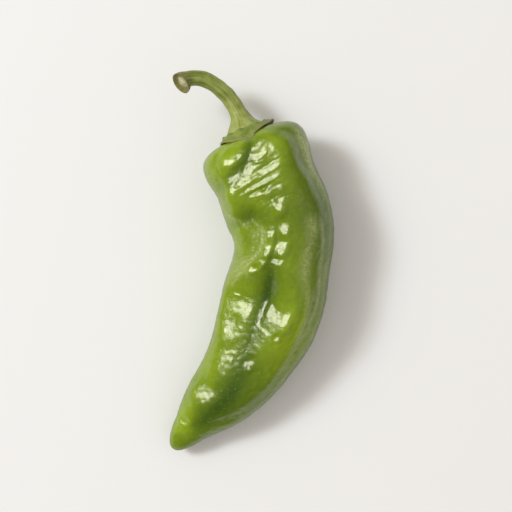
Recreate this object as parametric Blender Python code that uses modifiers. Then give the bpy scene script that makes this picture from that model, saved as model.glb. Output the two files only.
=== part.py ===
"""Green chilli pepper lying on its side, as picked: a curved, lobed pod, its calyx and its cut stem.

Run with: blender --background --python part.py
Metres, +Z up. The pod lies along Y with its calyx end towards +Y, and rests on z = 0.
"""

import math

import bmesh
import bpy
import numpy as np
from mathutils import Vector

# Gap kept between neighbouring pieces.
CLEARANCE = 0.0003

# Pod: overall sizes.
POD_LENGTH = 0.1336  # along the middle line, from the calyx to the tip
POD_WIDTH = 0.0404  # widest, seen from above
POD_HEIGHT = 0.0390  # thickest, from underside to top
SHOULDER_DEPTH = 0.0105  # length of the blunt calyx end
SHOULDER_SQUARENESS = 3.6  # 2 is a half ellipse, more is flatter with a tighter corner
TIP_LENGTH = 0.0085  # length of the rounded far end
SECTION_SQUARENESS = 2.12  # 2 is an ellipse

# Curves along the pod are (share of its length, value) stations, joined smoothly.
POD_HEADINGS = (  # degrees from -Y towards +X, which bend the middle line
    (0.0, 23.0), (0.08, 23.0), (0.22, 20.0), (0.29, 5.5), (0.36, -8.0), (0.47, -14.5),
    (0.61, -25.0), (0.73, -37.5), (0.82, -45.0), (0.91, -41.0), (1.0, -38.0),
)
POD_WIDTHS = (  # shares of POD_WIDTH
    (0.0, 1.0), (0.07, 1.0), (0.14, 0.935), (0.22, 0.97), (0.35, 0.905), (0.47, 0.96),
    (0.55, 0.92), (0.7, 0.745), (0.83, 0.575), (0.94, 0.3), (1.0, 0.22),
)
POD_HEIGHTS = (  # shares of POD_HEIGHT
    (0.0, 0.94), (0.09, 1.0), (0.19, 1.0), (0.28, 0.955), (0.37, 0.91), (0.46, 0.87),
    (0.56, 0.79), (0.67, 0.68), (0.79, 0.55), (0.88, 0.41), (0.94, 0.29), (1.0, 0.21),
)
POD_LIFTS = (  # height of the underside above the surface it lies on, in metres
    (0.0, 0.0004), (0.1, 0.0), (0.5, 0.0), (0.8, 0.0002), (0.92, 0.0012), (1.0, 0.003),
)

# Grooves between the lobes: angles in degrees around the section, 0 on the +X side and 90 on top.
GROOVES = (
    {"angles": ((0.0, 100.0), (1.0, 96.0)), "spread": 13.0,
     "depths": ((0.0, 0.0045), (0.06, 0.0028), (0.16, 0.0006), (0.36, 0.0003), (0.44, 0.0021),
                (0.56, 0.0016), (0.74, 0.0))},
    {"angles": ((0.0, 32.0), (1.0, 28.0)), "spread": 11.0,
     "depths": ((0.0, 0.0030), (0.08, 0.0021), (0.2, 0.0010), (0.34, 0.0))},
    {"angles": ((0.0, 140.0), (0.07, 150.0), (0.15, 180.0)), "spread": 13.0,
     "depths": ((0.0, 0.0030), (0.06, 0.0018), (0.14, 0.0018), (0.25, 0.0))},
    {"angles": ((0.0, 268.0), (1.0, 268.0)), "spread": 16.0,
     "depths": ((0.0, 0.0040), (0.1, 0.0020), (0.5, 0.0008), (0.8, 0.0))},
)
# The hollow where the inside of the bend is pinched.
WAIST_DEPTH = 0.0040
WAIST_PLACE = 0.29  # share of the pod's length
WAIST_ANGLE = 141.0
WAIST_REACH = 0.0100  # along the pod
WAIST_SPREAD = 24.0  # degrees around it

# Calyx: a thin cap that lies over the middle of the shoulder.
CALYX_RADIUS = 0.0114
CALYX_EDGE = 0.0008  # thickness at its rim
CALYX_COLLAR = 0.0018  # height of the seat under the stem, above the pod
CALYX_TEETH = 5
CALYX_TOOTH_DEPTH = 0.0006

# Stem: leaves the calyx along the pod's middle line, then bends over and rises.
STEM_LENGTH = 0.0338
STEM_RADIUS = 0.0031
STEM_FOOT_RADIUS = 0.0062
STEM_FOOT_LENGTH = 0.0080
STEM_END_RADIUS = 0.0041
STEM_END_LENGTH = 0.0040
STEM_TURNS = (  # degrees turned towards -X, at shares of the stem's length
    (0.0, 0.0), (0.08, -4.0), (0.2, 4.0), (0.36, 19.0), (0.53, 32.0), (0.7, 50.0), (0.84, 77.0),
    (1.0, 106.0),
)
STEM_RISES = ((0.0, 0.0), (0.35, 6.0), (0.75, 18.0), (1.0, 28.0))  # degrees above level

# Mesh detail. An even number around keeps the section's two sides alike.
POD_SIDES = 24
SHOULDER_ROWS = 6
BODY_ROWS = 17
TIP_ROWS = 4
CALYX_SIDES = 40
CALYX_ROWS = 7
CALYX_ROOT = 0.0050  # how far the uncut calyx reaches down, past the pod's skin
STEM_POINTS = 26
STEM_BEVEL = 5
WALK_STEPS = 400


def smooth(stations, places):
    """Values at places of a smooth curve through (place, value) stations, with no overshoot."""
    x, y = np.array(stations, float).T
    places = np.clip(places, x[0], x[-1])
    step = np.diff(x)
    rise = np.diff(y) / step
    slope = np.zeros(len(x))
    turns = rise[:-1] * rise[1:] > 0
    both = 2 * rise[:-1] * rise[1:] / np.where(turns, rise[:-1] + rise[1:], 1.0)
    slope[1:-1] = np.where(turns, both, 0.0)
    i = np.clip(np.searchsorted(x, places, side="right") - 1, 0, len(step) - 1)
    t = (places - x[i]) / step[i]
    return (
        y[i] * (1 + 2 * t) * (1 - t) ** 2
        + y[i + 1] * t**2 * (3 - 2 * t)
        + step[i] * t * (1 - t) * (slope[i] * (1 - t) - slope[i + 1] * t)
    )


def ease(t):
    """0 to 1 with level ends, for t from 0 to 1."""
    t = np.clip(t, 0.0, 1.0)
    return t * t * (3 - 2 * t)


def walk(directions, length):
    """Points reached by steps of equal length along unit directions, one more than the steps."""
    steps = directions[:-1] * (length / (len(directions) - 1))
    return np.vstack([np.zeros(3), np.cumsum(steps, axis=0)])


def pod_frames(along):
    """Middle point, direction of travel and sideways direction at distances along the pod."""
    share = np.linspace(0.0, 1.0, WALK_STEPS + 1)
    heading = np.radians(smooth(POD_HEADINGS, share))
    travel = np.stack([np.sin(heading), -np.cos(heading), 0 * heading], axis=-1)
    path = walk(travel, POD_LENGTH)
    at = np.asarray(along, float) / POD_LENGTH
    middle = np.stack([np.interp(at, share, path[:, i]) for i in range(3)], axis=-1)
    height = smooth(POD_HEIGHTS, at) * POD_HEIGHT
    middle[..., 2] = smooth(POD_LIFTS, at) + height / 2
    heading = np.radians(smooth(POD_HEADINGS, at))
    travel = np.stack([np.sin(heading), -np.cos(heading), 0 * heading], axis=-1)
    side = np.stack([np.cos(heading), np.sin(heading), 0 * heading], axis=-1)
    return middle, travel, side


def section_radius(along, angle):
    """Distance from the middle line to the skin, at an angle in radians around the section."""
    at = along / POD_LENGTH
    half_width = smooth(POD_WIDTHS, at) * POD_WIDTH / 2
    half_height = smooth(POD_HEIGHTS, at) * POD_HEIGHT / 2
    across = np.abs(np.cos(angle) / half_width) ** SECTION_SQUARENESS
    upward = np.abs(np.sin(angle) / half_height) ** SECTION_SQUARENESS
    radius = (across + upward) ** (-1 / SECTION_SQUARENESS)
    for groove in GROOVES:
        off = turn_between(angle, np.radians(smooth(groove["angles"], at)))
        fall = np.exp(-((off / math.radians(groove["spread"])) ** 2))
        radius = radius - smooth(groove["depths"], at) * fall
    off = turn_between(angle, math.radians(WAIST_ANGLE)) / math.radians(WAIST_SPREAD)
    reach = (along - WAIST_PLACE * POD_LENGTH) / WAIST_REACH
    return radius - WAIST_DEPTH * np.exp(-(off**2) - reach**2)


def turn_between(angle, centre):
    """Smallest turn from one angle to another, in radians."""
    return (angle - centre + math.pi) % (2 * math.pi) - math.pi


def shoulder_drop(share):
    """How far along the pod the blunt end has fallen back, at a share of the section's radius."""
    left = np.clip(1 - share**SHOULDER_SQUARENESS, 0.0, 1.0)
    return SHOULDER_DEPTH * (1 - left ** (1 / SHOULDER_SQUARENESS))


def pod_point(along, share, angle):
    """Point of the pod at a distance along it, a share of the section's radius and an angle."""
    middle, _, side = pod_frames(along)
    out = share * section_radius(along, angle)
    up = np.array([0.0, 0.0, 1.0])
    return middle + (out * np.cos(angle))[..., None] * side + (out * np.sin(angle))[..., None] * up


def pod_rows():
    """Distance along and share of the section for each ring of the cage, poles left out."""
    lean = np.linspace(0.0, math.pi / 2, SHOULDER_ROWS + 1)[1:]
    power = SHOULDER_SQUARENESS
    reach = (np.sin(lean) ** power + np.abs(np.cos(lean)) ** power) ** (-1 / power)
    shoulder = np.stack([SHOULDER_DEPTH * (1 - reach * np.cos(lean)), reach * np.sin(lean)])
    end = POD_LENGTH - TIP_LENGTH
    body = np.linspace(SHOULDER_DEPTH, end, BODY_ROWS + 1)[1:]
    body = np.stack([body, np.ones(BODY_ROWS)])
    lean = np.linspace(0.0, math.pi / 2, TIP_ROWS + 1)[1:-1]
    tip = np.stack([end + TIP_LENGTH * np.sin(lean), np.cos(lean)])
    return np.hstack([shoulder, body, tip])


def mesh_object(name, points, faces, collection):
    mesh = bpy.data.meshes.new(name)
    mesh.from_pydata([tuple(p) for p in points], [], faces)
    mesh.validate()
    obj = bpy.data.objects.new(name, mesh)
    collection.objects.link(obj)
    return obj


def ring_faces(rings, sides):
    """Quads between neighbouring rings, wound to face out when the rings run down the pod."""
    faces = []
    for row in range(rings - 1):
        for i in range(sides):
            j = (i + 1) % sides
            a, b = row * sides, (row + 1) * sides
            faces.append((a + i, a + j, b + j, b + i))
    return faces


def fan_faces(pole, first, sides, flip):
    """Triangles from a pole to the ring that starts at first."""
    fan = [(pole, first + (i + 1) % sides, first + i) for i in range(sides)]
    return [face[::-1] for face in fan] if flip else fan


def make_pod(collection):
    """Coarse cage of unlike sections along the bent middle line, rounded by subdivision."""
    along, share = pod_rows()
    angle = np.arange(POD_SIDES) * 2 * math.pi / POD_SIDES
    # One level of subdivision pulls a ring in by this much, so the cage is as much larger.
    pull = (3 + math.cos(2 * math.pi / POD_SIDES)) / 4
    rings = pod_point(along[:, None], share[:, None] / pull, angle[None, :])
    ends, _, _ = pod_frames(np.array([0.0, POD_LENGTH]))
    points = np.vstack([rings.reshape(-1, 3), ends])
    last = (len(along) - 1) * POD_SIDES
    faces = ring_faces(len(along), POD_SIDES)
    faces += fan_faces(len(points) - 2, 0, POD_SIDES, False)
    faces += fan_faces(len(points) - 1, last, POD_SIDES, True)
    pod = mesh_object("pod", points, faces, collection)
    rounding = pod.modifiers.new("rounding", "SUBSURF")
    rounding.levels = 1
    rounding.render_levels = 1
    return pod


def calyx_rim(angle):
    """Radius of the calyx, with a soft tooth at each of its points."""
    return CALYX_RADIUS - CALYX_TOOTH_DEPTH * (1 - np.cos(CALYX_TEETH * angle)) / 2


def calyx_top(radius, angle):
    """Upper face of the calyx at a distance from the stem's axis, as a point in space."""
    rim = calyx_rim(angle)
    share = radius / section_radius(0 * angle, angle)
    skirt = shoulder_drop(share) - CLEARANCE - CALYX_EDGE
    seat = -CLEARANCE - CALYX_COLLAR
    blend = ease((radius - STEM_FOOT_RADIUS) / (rim - STEM_FOOT_RADIUS))
    fall = seat + (skirt - seat) * blend
    middle, travel, side = pod_frames(np.zeros(1))
    up = np.array([0.0, 0.0, 1.0])
    out = np.cos(angle)[..., None] * side + np.sin(angle)[..., None] * up
    return middle + radius[..., None] * out + fall[..., None] * travel


def make_pod_cutter(pod, collection):
    """Copy of the pod, swollen by the clearance."""
    graph = bpy.context.evaluated_depsgraph_get()
    mesh = bpy.data.meshes.new_from_object(pod.evaluated_get(graph))
    cutter = bpy.data.objects.new("pod_cutter", mesh)
    collection.objects.link(cutter)
    swell = cutter.modifiers.new("swell", "DISPLACE")
    swell.strength = CLEARANCE
    swell.mid_level = 0.0
    cutter.hide_render = True
    cutter.display_type = "WIRE"
    return cutter


def make_calyx(collection, cutter):
    """Toothed sheet over the shoulder, thickened down into the pod and trimmed to its skin."""
    angle = np.arange(CALYX_SIDES) * 2 * math.pi / CALYX_SIDES
    share = np.arange(1, CALYX_ROWS + 1)[:, None] / CALYX_ROWS
    rings = calyx_top(share * calyx_rim(angle), np.broadcast_to(angle, share.shape[:1] + angle.shape))
    centre = calyx_top(np.zeros(1), np.zeros(1))
    points = np.vstack([rings.reshape(-1, 3), centre])
    faces = ring_faces(CALYX_ROWS, CALYX_SIDES)
    faces += fan_faces(len(points) - 1, 0, CALYX_SIDES, False)
    calyx = mesh_object("calyx", points, faces, collection)
    _, travel, _ = pod_frames(np.zeros(1))
    root = bmesh.new()
    root.from_mesh(calyx.data)
    lower = bmesh.ops.extrude_face_region(root, geom=root.faces[:])["geom"]
    lower = [item for item in lower if isinstance(item, bmesh.types.BMVert)]
    bmesh.ops.translate(root, verts=lower, vec=Vector(travel[0]) * CALYX_ROOT)
    bmesh.ops.recalc_face_normals(root, faces=root.faces[:])
    root.to_mesh(calyx.data)
    root.free()
    trim = calyx.modifiers.new("trim", "BOOLEAN")
    trim.operation = "DIFFERENCE"
    trim.solver = "EXACT"
    trim.object = cutter
    return calyx


def stem_radius(distance):
    """Radius at distances along the stem: flared foot, even middle, swollen cut end."""
    foot = 1 - np.clip(distance / STEM_FOOT_LENGTH, 0.0, 1.0)
    end = ease((distance - STEM_LENGTH + STEM_END_LENGTH) / STEM_END_LENGTH)
    return (
        STEM_RADIUS
        + (STEM_FOOT_RADIUS - STEM_RADIUS) * foot**2.2
        + (STEM_END_RADIUS - STEM_RADIUS) * end
    )


def make_stem(collection):
    """Tapered tube that stands on the calyx's seat."""
    share = np.linspace(0.0, 1.0, STEM_POINTS)
    middle, travel, side = (value[0] for value in pod_frames(np.zeros(1)))
    turn = np.radians(smooth(STEM_TURNS, share))[:, None]
    rise = np.radians(smooth(STEM_RISES, share))[:, None]
    level = -np.cos(turn) * travel - np.sin(turn) * side
    direction = np.cos(rise) * level + np.sin(rise) * np.array([0.0, 0.0, 1.0])
    foot = middle - travel * (CALYX_COLLAR + 2 * CLEARANCE)
    points = foot + walk(direction, STEM_LENGTH)
    radii = stem_radius(share * STEM_LENGTH)
    curve = bpy.data.curves.new("stem", "CURVE")
    curve.dimensions = "3D"
    curve.bevel_depth = 1.0
    curve.bevel_resolution = STEM_BEVEL
    curve.use_fill_caps = True
    spline = curve.splines.new("POLY")
    spline.points.add(STEM_POINTS - 1)
    for point, place, radius in zip(spline.points, points, radii):
        point.co = (*place, 1.0)
        point.radius = radius
    stem = bpy.data.objects.new("stem", curve)
    collection.objects.link(stem)
    return stem


def paint(obj, colour, roughness):
    """Principled material of one colour."""
    material = bpy.data.materials.new(obj.name)
    material.use_nodes = True
    shader = material.node_tree.nodes["Principled BSDF"]
    shader.inputs["Base Color"].default_value = (*colour, 1.0)
    shader.inputs["Roughness"].default_value = roughness
    shader.inputs["Metallic"].default_value = 0.0
    obj.data.materials.append(material)


def shade_smooth(obj):
    if obj.type == "MESH":
        obj.data.shade_smooth()
    else:
        for spline in obj.data.splines:
            spline.use_smooth = True


def evaluated_box(objects):
    """Lowest and highest corners of the objects as built."""
    bpy.context.view_layer.update()
    graph = bpy.context.evaluated_depsgraph_get()
    corners = []
    for obj in objects:
        built = obj.evaluated_get(graph)
        mesh = built.to_mesh()
        corners += [built.matrix_world @ vertex.co for vertex in mesh.vertices]
        built.to_mesh_clear()
    corners = np.array(corners)
    return corners.min(axis=0), corners.max(axis=0)


def new_collection(name):
    collection = bpy.data.collections.new(name)
    bpy.context.scene.collection.children.link(collection)
    return collection


def main():
    for obj in list(bpy.data.objects):
        bpy.data.objects.remove(obj, do_unlink=True)
    pieces = new_collection("chilli_pepper")
    cutters = new_collection("chilli_pepper_cutters")
    pod = make_pod(pieces)
    cutter = make_pod_cutter(pod, cutters)
    calyx = make_calyx(pieces, cutter)
    stem = make_stem(pieces)
    paint(pod, (0.19, 0.28, 0.015), 0.22)
    paint(calyx, (0.17, 0.22, 0.04), 0.5)
    paint(stem, (0.27, 0.31, 0.08), 0.45)
    for obj in (pod, calyx, stem):
        shade_smooth(obj)
    whole = bpy.data.objects.new("whole", None)
    pieces.objects.link(whole)
    low, high = evaluated_box((pod, calyx, stem))
    for obj in (pod, calyx, stem, cutter):
        obj.parent = whole
    whole.location = Vector((-(low[0] + high[0]) / 2, -(low[1] + high[1]) / 2, -low[2]))


main()
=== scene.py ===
"""Looks of a fresh green chilli pepper: pod, calyx and stem as fine surfaces, on a pale studio floor.

Laid out as an add-on and run as a script. Each piece is a surface worked out with numpy over two
parameters, and stands for the simple solid of the same name. Lengths are in metres.
"""

import math

import bpy
import numpy as np
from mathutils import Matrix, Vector


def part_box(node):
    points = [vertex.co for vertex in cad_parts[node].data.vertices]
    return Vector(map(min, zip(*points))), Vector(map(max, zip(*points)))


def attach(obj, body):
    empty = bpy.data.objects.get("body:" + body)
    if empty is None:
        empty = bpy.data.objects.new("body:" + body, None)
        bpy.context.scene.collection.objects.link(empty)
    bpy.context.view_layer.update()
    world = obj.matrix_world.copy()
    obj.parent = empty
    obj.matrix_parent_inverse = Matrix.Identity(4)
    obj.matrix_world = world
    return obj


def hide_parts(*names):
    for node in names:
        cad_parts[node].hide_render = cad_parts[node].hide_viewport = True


bl_info = {
    "name": "Green chilli pepper",
    "version": (1, 0, 0),
    "blender": (4, 5, 0),
    "location": "3D View > Sidebar > Chilli",
    "description": "Builds a bent, lobed chilli pepper with its calyx, stem and studio",
    "category": "Add Mesh",
}

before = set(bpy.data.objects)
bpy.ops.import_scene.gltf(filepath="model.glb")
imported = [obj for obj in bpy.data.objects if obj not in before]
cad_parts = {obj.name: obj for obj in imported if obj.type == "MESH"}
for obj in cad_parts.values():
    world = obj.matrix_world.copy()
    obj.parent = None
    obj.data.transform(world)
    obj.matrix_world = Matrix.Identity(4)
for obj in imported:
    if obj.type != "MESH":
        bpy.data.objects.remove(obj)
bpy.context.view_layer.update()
UP = np.array([0.0, 0.0, 1.0])
KEY_WAY = (-0.6205, 0.2512, 0.7430)  # from the pod towards the key light
HALF_WAY = (KEY_WAY[0], KEY_WAY[1], KEY_WAY[2] + 1.0)
MM = 0.001
SHOULDER_RINGS = 46  # of the pod's rings, on its blunt end
TIP_RINGS = 20  # and on its tip
FLOOR_WIDTH = 6.0
COOL = (0.76, 0.87, 1.0)  # the key's colour
WARM = (1.0, 0.96, 0.8)  # the glow's
AMBER = (1.0, 0.93, 0.8)  # the side panel's
ROOM_COLOUR = (1.0, 0.955, 0.9)
SHINE_FLOOR = (0.2, 0.22, 0.1)  # what the floor fades towards in reflections
LOOK_AT = (0.0020, 0.0026, 0.017)  # the camera stands straight above this point
SENSOR_WIDTH = 36.0  # of the camera, in its own millimetres

# Curves along the pod are (share of its length, value) stations, joined smoothly.
POD_HEADINGS = (  # degrees from -Y towards +X, which bend the middle line
    (0, 23), (0.08, 23), (0.22, 20), (0.29, 5.5), (0.36, -8), (0.47, -14.5), (0.61, -25),
    (0.73, -37.5), (0.82, -45), (0.91, -41), (1, -38),
)
POD_WIDTHS = (  # shares of the widest
    (0, 1), (0.07, 1), (0.14, 0.935), (0.22, 0.97), (0.35, 0.905), (0.47, 0.96), (0.55, 0.92),
    (0.7, 0.745), (0.83, 0.575), (0.94, 0.3), (1, 0.22),
)
POD_HEIGHTS = (  # shares of the thickest
    (0, 0.94), (0.09, 1), (0.19, 1), (0.28, 0.955), (0.37, 0.91), (0.46, 0.87), (0.56, 0.79),
    (0.67, 0.68), (0.79, 0.55), (0.88, 0.41), (0.94, 0.29), (1, 0.21),
)
POD_LIFTS = (  # height of the underside above the floor, in metres
    (0, 0.0004), (0.1, 0), (0.5, 0), (0.8, 0.0002), (0.92, 0.0012), (1, 0.003),
)

# Relief is in millimetres. Grooves of the underside run along the pod: angles are in degrees
# around the section, 0 on the +X side and 90 on top, at distances from the calyx.
UNDER_GROOVES = (
    {"angles": ((0, 268), (134, 266)), "width": 4.5,
     "depths": ((0, 4.0), (13, 2.0), (66, 0.8), (107, 0.0))},
    {"angles": ((0, 330), (60, 322), (134, 318)), "width": 4.0,
     "depths": ((0, 2.4), (15, 1.2), (60, 0.7), (100, 0.0))},
    {"angles": ((0, 205), (60, 212), (134, 215)), "width": 4.0,
     "depths": ((0, 2.4), (15, 1.0), (70, 0.5), (100, 0.0))},
)
# The top is flattened by a sheet that climbs towards +X: (distance along, the sheet's height over
# the floor above the middle line, its climb in degrees).
FLAT_SHEET = (
    (0, 34.2, 10), (5, 35, 11), (10, 35.7, 12), (15, 36.3, 13), (20, 36.8, 15), (25, 37, 18),
    (30, 36.9, 20), (34, 36.6, 20), (38, 36.4, 20), (45, 36.2, 20), (50, 35.9, 20), (56, 33.6, 20),
    (61, 30.8, 21), (66, 29.2, 21), (76, 28.3, 21), (86, 27.3, 21), (92, 26.8, 20), (100, 26.4, 20),
    (112, 26, 20), (134, 26, 20),
)
# Creases seen from above, each a line of (distance along, distance to the +X side of the middle
# line, depth, width). A negative depth raises a ridge.
CREASES = {
    "front shoulder": (
        (0, 0.4, 1.6, 1.6), (3.7, -0.3, 1.3, 2), (7, -2.2, 1, 2.4), (9.7, -4.2, 0.95, 2.7),
        (11.4, -7.2, 0.95, 2.8), (12.5, -10.7, 0.8, 2.8), (14.5, -14, 0.6, 2.8),
        (17, -17.5, 0.3, 2.8),
    ),
    "inner side": (
        (0, -8, 0.4, 1.5), (1.3, -9.8, 0.5, 1.6), (3.6, -13.8, 0.6, 1.8), (7, -15.7, 0.65, 1.9),
        (12.6, -16.2, 0.6, 1.9), (18.4, -17, 0.35, 1.9), (25, -17.8, 0, 1.9),
    ),
    "outer side": (
        (0, 8, 0.5, 1.8), (4.3, 10.5, 0.6, 2.2), (6.7, 14.6, 0.9, 2.4), (9.9, 15.9, 1, 2.4),
        (13.2, 15.6, 1, 2.3), (18.5, 14.8, 0.95, 2.2), (22.5, 15.6, 0.8, 2), (27.6, 16.2, 0.6, 1.8),
        (32, 16.4, 0.45, 1.7), (36, 15.8, 0.3, 1.6), (40, 14.8, 0.2, 1.4), (56, 15.6, 0.2, 1.3),
        (67, 15.6, 0.2, 1.4), (76, 14.4, 0.3, 1.5), (87, 13.4, 0.4, 1.7), (95, 12.2, 0.45, 1.7),
        (102, 10.7, 0.45, 1.7), (111, 7.4, 0.45, 1.7), (117, 4.4, 0.3, 1.7),
    ),
    "waist fold": (
        (29, -19, 0.4, 2.8), (30.4, -16, 0.9, 3.2), (30.2, -13, 1.2, 3.4), (29.6, -10.5, 1.2, 3.4),
        (30.2, -8, 0.6, 3), (32, -5.5, 0, 2.6),
    ),
    "waist hollow": (
        (32, -14, 0.3, 4), (38, -12.4, 0.9, 4.2), (45, -12.4, 1, 4.2), (52, -14.6, 0.8, 4),
        (59, -18, 0.3, 3.6),
    ),
    "ridge": (
        (31, -2.6, 0, 1.5), (36.3, -4.2, -0.3, 1.5), (40.4, -4.7, -0.5, 1.5),
        (45.2, -5.5, -0.6, 1.5), (48.8, -6, -0.6, 1.5), (52.1, -7.5, -0.6, 1.6),
        (54.7, -9.6, -0.5, 1.8), (58, -13, -0.4, 2), (62, -16.5, -0.2, 2.4),
    ),
    "main groove": (
        (33, -1.8, 0.05, 0.9), (38, -2.4, 0.2, 0.9), (45, -3, 0.4, 1.1), (50.8, -3.6, 0.9, 2),
        (57.7, -2.9, 1.5, 3.2), (63.5, -3, 1.5, 3.2), (68.2, -3.3, 0.95, 3.1), (74, -3.2, 0.55, 3),
        (80, -2.7, 0.35, 3), (88, -2, 0.3, 3), (98, -1.2, 0.1, 3.2), (106, -0.8, 0, 3.2),
    ),
    "shoulder fold 1": (
        (18, -12.5, 0, 0.9), (17.6, -9, -0.16, 0.9), (17.3, -4.4, -0.18, 0.9), (16.9, -1, -0.18, 1),
        (16.7, 5.2, -0.12, 1), (16.9, 8.5, 0, 1),
    ),
    "shoulder fold 2": (
        (21.4, -11, 0, 0.8), (20.7, -7, -0.2, 0.8), (20.3, -2, -0.2, 0.8), (19.8, 2.2, -0.14, 0.9),
        (19.6, 5.5, 0, 1),
    ),
    "shoulder pleat": (
        (22.2, -9.5, 0, 0.6), (21.7, -6.9, 0.45, 0.55), (21.5, -4, 0.45, 0.55),
        (21.4, -1.5, 0.35, 0.55), (21.2, 1.5, 0, 0.6),
    ),
    "shoulder fold 3": (
        (25, -8, 0, 0.9), (23.9, -4.7, -0.24, 0.9), (23.6, -1.5, -0.26, 1), (24.6, 1.2, -0.3, 1.3),
        (27.7, 1, -0.35, 1.6), (32.5, 0.4, -0.3, 1.6), (36, 0.6, -0.1, 1.4),
    ),
    "lobe arc": (
        (67, -15.5, 0, 0.7), (66, -13.7, -0.18, 0.6), (66.2, -11, -0.2, 0.6),
        (66.8, -8.3, -0.16, 0.6), (67.4, -6.4, 0, 0.7),
    ),
    "outer edge": (
        (52, 10.6, 0, 1.2), (56.5, 11.6, -0.2, 1.1), (60, 12.4, -0.3, 0.9), (64, 12.5, -0.4, 0.8),
        (70, 12.1, -0.4, 0.8), (74, 11.8, -0.35, 0.8), (80, 11, 0, 0.9),
    ),
}
SHARP = ("shoulder pleat",)  # these creases have pointed floors

# Patches of painted light and shade seen from above, as creases: above 0 is a deeper green, painted
# shade in grooves, valleys, folds and on the +X side away from the key; below 0 yellower, painted
# light on crowns and lobes.
PAINTED_LIGHT_TONES = {
    "groove to tip": (
        (44, -3.4, 0.1, 2), (52, -3.6, 0.6, 2.6), (62, -3, 0.9, 3.4), (76, -3.2, 0.9, 3.2),
        (88, -2, 0.9, 3.8), (97, 0.5, 1.1, 5.4), (107, 1.6, 1.2, 5), (114, 1.4, 1.1, 4.2),
        (119, 1.6, 0.7, 3.2),
    ),
    "shoulder valley": (
        (4, -0.5, 0.3, 2.2), (9, -4, 0.9, 2.8), (12, -8, 0.9, 3), (15, -14, 0.4, 2.8),
    ),
    "fold shade": (
        (30.6, -17, 0.3, 2.6), (30, -14, 0.5, 3.2), (29.4, -11, 0.6, 3.6), (30.2, -8.5, 0.3, 3),
    ),
    "outer side": (
        (4, 15, 0, 3.5), (20, 13, 0.3, 4), (36, 14, 0.45, 4.5), (50, 15, 0.1, 3.5),
        (70, 16, -0.2, 3.5), (90, 12, -0.1, 4), (108, 8, 0.1, 4),
    ),
    "shoulder crown": (
        (3, 6, -0.3, 3), (8.7, 9, -0.5, 3.6), (14, 7.5, -0.2, 3.4),
    ),
    "outer lobe": (
        (52, 5, -0.1, 3.6), (62, 7.5, -0.4, 4.6), (74, 9, -0.55, 4.8), (84, 8.6, -0.25, 4.4),
        (92, 9, 0, 4),
    ),
    "inner lobe": (
        (64, -11, 0, 4), (80, -11, 0.1, 4), (96, -8, 0, 3.6), (112, -6, -0.1, 3.6),
        (123, -3, -0.7, 3.8),
    ),
}
# Painted sheens, highlights and reflections along the waist's folds and outlines, as creases.
PAINTED_SHEENS = {
    "upper line": (
        (24.7, -18.6, 0.2, 0.6), (28.5, -16.4, 0.8, 0.6), (34.3, -13.6, 0.4, 0.7), (37, -12, 0, 0.7),
    ),
    "crest": (
        (30, -11.2, 0, 0.7), (32.1, -10.2, 0.4, 0.7), (36.2, -8, 0.8, 0.9), (40, -7.3, 1, 1),
        (44.7, -8.3, 1, 1), (48.8, -10.1, 1.1, 1), (52.5, -12.5, 1.1, 1.1), (56.5, -14.3, 1, 1.2),
        (61.5, -16.3, 0.6, 1.3), (66, -18, 0, 1.2),
    ),
    "patch": (
        (35, -10.4, 0, 1.8), (38.2, -10.2, 0.8, 2.2), (42, -10.8, 0.4, 2.2), (46, -12, 0.1, 2),
    ),
    "low band": (
        (46, -12, 0, 1.4), (48.7, -12.8, 0.3, 1.6), (53.8, -15.4, 0.45, 1.8),
        (59.4, -17.5, 0.3, 1.4), (64.2, -18.8, 0.1, 1.2), (70.3, -19.4, 0, 1.2),
    ),
    "inner outline": (
        (13, -17.6, 0, 1), (15.6, -18.1, 0.15, 1.1), (18.7, -18.6, 0.3, 1.1),
        (22.4, -18.5, 0.35, 1.1), (27.2, -17.8, 0.3, 1), (31, -16.4, 0, 0.8),
    ),
    "outer strip": (
        (5, 16, 0.2, 1.2), (9, 17.8, 0.9, 1.6), (14, 17.6, 1, 1.6), (20, 17, 0.8, 1.6),
        (27, 18, 0.5, 1.2), (34, 18.4, 0, 1.2),
    ),
    "outer sheen": (
        (34, 10.8, 0, 2.4), (38, 10.5, 0.8, 2.4), (42, 9.8, 0.45, 2.2), (47, 8.6, 0.75, 2),
        (52, 8.6, 0.7, 2), (57, 10, 0.35, 1.8), (61, 11.6, 0.5, 1.3), (66, 12.3, 0.5, 0.8),
        (72, 12, 0.5, 0.8), (76, 11.6, 0, 0.8),
    ),
    "outer line": (
        (36, 14.6, 0, 0.6), (40, 14, 0.5, 0.6), (48.6, 14.1, 0.5, 0.6), (56, 15.1, 0.6, 0.6),
        (61, 15.6, 0.6, 0.6), (66.7, 15.2, 0.5, 0.7), (74, 14.2, 0.3, 0.8), (82, 13.6, 0, 0.8),
    ),
}
# The ridge beside the waist's hollow: distance along, distance to the +X side.
RIDGE_LINE = ((24, 0.0), (31, -2.6), (40, -4.7), (49, -6.0), (54, -9.0), (62, -16.5))
# Dents seen from above, and bulges where the depth is negative: distance along, distance to the
# +X side, reach along, reach across, turn of the reach in degrees, depth.
DENTS = {
    "inner lobe": (7.8, -8.6, 4.6, 5.2, 20, -1.2),
    "second inner lobe": (19.2, -14, 4.6, 4.6, 10, -1.2),
    "front lobe": (10.6, 1.6, 2.4, 3.6, 10, -0.3),
    "outer lobe": (12, 9, 7.5, 4.2, 0, -0.45),
    "pit": (21.6, -2.6, 0.7, 1.2, 0, 0.3),
    "inner lobe low": (77, -10.5, 11, 5.5, 6, -0.3),
    "outer crest": (70, 9, 6.5, 3.6, 0, -0.45),
    "tip pinch": (118, 0.8, 4.5, 2.8, 0, 0.6),
    "tip bulge": (114.5, -4, 7.5, 4.6, 0, -1),
}

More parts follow.
